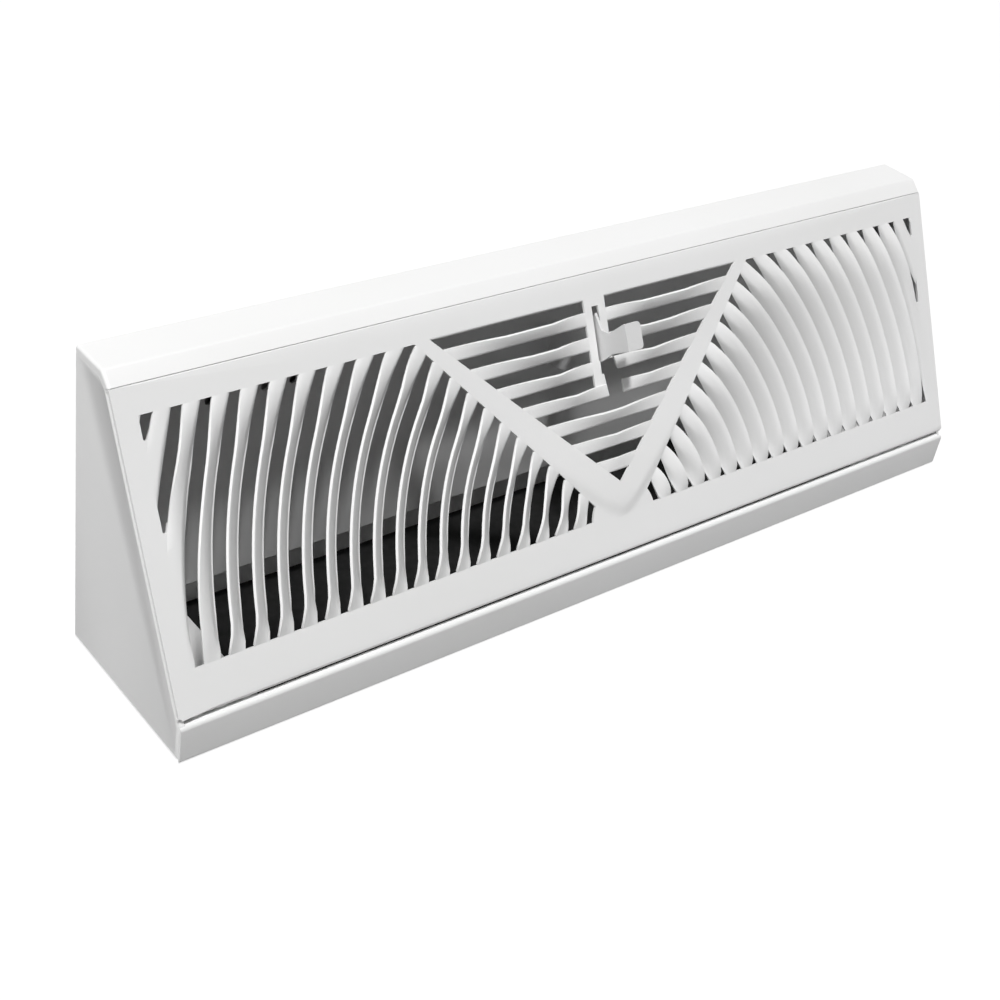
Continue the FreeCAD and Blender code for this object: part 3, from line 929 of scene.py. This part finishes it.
bpy.ops.mesh.primitive_plane_add(size=FLOOR_SIZE, location=(0, 0, 0))
floor = bpy.context.object
floor.name = "studio_floor"
paper, paper_shader = node_material("studio_paper")
paper_shader.inputs["Base Color"].default_value = (FLOOR_GREY, FLOOR_GREY, FLOOR_GREY, 1)
paper_shader.inputs["Roughness"].default_value = 0.9
tree = paper.node_tree
glow = tree.nodes.new("ShaderNodeMath")
glow.operation = "MULTIPLY"
glow.inputs[1].default_value = FLOOR_GLOW
wire(paper, seen_directly(tree), glow.inputs[0])
paper_shader.inputs["Emission Color"].default_value = (1, 1, 1, 1)
wire(paper, glow.outputs[0], paper_shader.inputs["Emission Strength"])
paint(floor, paper)
print("floor:", floor.name, "glow", FLOOR_GLOW)

# %% [markdown]
# Below the damper one looks down into the dark floor duct. The floor has no hole here, so a matt
# black sheet lies on it, under the opening between the rail and the wall. Its black is painted
# shade that stands in for the duct's unlit depth, with a faint noise in it.

# %% Painted shade of the duct opening
DUCT_HALF = 152.4 * MM
BEHIND_RAIL = 12 * MM
BEFORE_WALL = 0.3 * MM
ABOVE_FLOOR = 0.2 * MM
DUCT_NOISE_SCALE = 260.0
duct_front = rail_low.y + BEHIND_RAIL
duct_rear = cad_high.y - BEFORE_WALL
bpy.ops.mesh.primitive_plane_add(size=1, location=(0, 0, 0))
duct = bpy.context.object
duct.name = "duct_shade_sheet"
for vert in duct.data.vertices:
    vert.co.x *= 2 * DUCT_HALF
    vert.co.y = duct_front if vert.co.y < 0 else duct_rear
    vert.co.z = ABOVE_FLOOR
# Painted shade: near-black with a faint noise, in place of the duct's dark depth.
shade, shade_shader = node_material("duct_painted_shade")
shade_shader.inputs["Roughness"].default_value = 1.0
duct_shade_noise = ramp(shade, noise(shade, DUCT_NOISE_SCALE, 3.0), [0.004] * 3, [0.012] * 3)
wire(shade, duct_shade_noise.outputs["Color"], shade_shader.inputs["Base Color"])
paint(duct, shade)
print("duct opening, front to rear:", round((duct_rear - duct_front) / MM, 1), "mm")

# %% [markdown]
# The surroundings light the outlet weakly, from all sides, and look white to the camera and in
# reflections. One soft lamp high on the left gives the shading. Two weak ones, low on the left and
# behind, keep the end panel and the wall side from going dark.

# %% World and lamps
SKY_LIGHT = 0.10
LIT_PLACE = (0, 0, 0.05)

world = bpy.data.worlds.new("studio")
bpy.context.scene.world = world
world.use_nodes = True
air = world.node_tree.nodes["Background"]
air.inputs["Color"].default_value = (1, 1, 1, 1)
sky = world.node_tree.nodes.new("ShaderNodeMath")
sky.operation = "MAXIMUM"
sky.inputs[1].default_value = SKY_LIGHT
world.node_tree.links.new(seen_directly(world.node_tree), sky.inputs[0])
world.node_tree.links.new(sky.outputs[0], air.inputs["Strength"])


def lamp(name, place, size, power):
    """Square soft lamp that looks at the outlet. The place and size are in metres."""
    light = bpy.data.lights.new(name, "AREA")
    light.energy = power
    light.size = size
    holder = bpy.data.objects.new(name, light)
    holder.location = place
    direction = Vector(LIT_PLACE) - Vector(place)
    holder.rotation_euler = direction.to_track_quat("-Z", "Y").to_euler()
    bpy.context.scene.collection.objects.link(holder)


lamp("key_softbox", (-0.8, -1.0, 3.7), size=0.35, power=139)
lamp("left_fill", (-2.7, -0.3, 0.2), size=1.0, power=26)
lamp("wall_side_fill", (0.9, 2.8, 0.4), size=1.0, power=13)

# %% [markdown]
# The camera stands where the photograph was taken from. Its place, turn and focal length were
# worked out from the corners of the casing. Its place is measured from the casing's wall side.

# %% Camera
LENS = 58.85087
CAMERA_PLACE = Vector((-388.001, -389.496, 370.433)) * MM
CAMERA_TURN = (55.26036, -8.55318, -38.71251)

bpy.context.scene.view_settings.view_transform = "Standard"
camera_data = bpy.data.cameras.new("photo_camera")
camera_data.lens = LENS
camera_data.sensor_width = 36
camera_data.clip_start = 0.01
camera = bpy.data.objects.new("photo_camera", camera_data)
bpy.context.scene.collection.objects.link(camera)
camera.location = CAMERA_PLACE + Vector((0, cad_high.y, 0))
camera.rotation_euler = [math.radians(angle) for angle in CAMERA_TURN]
bpy.context.scene.camera = camera
print("camera at", [round(value, 3) for value in camera.location])
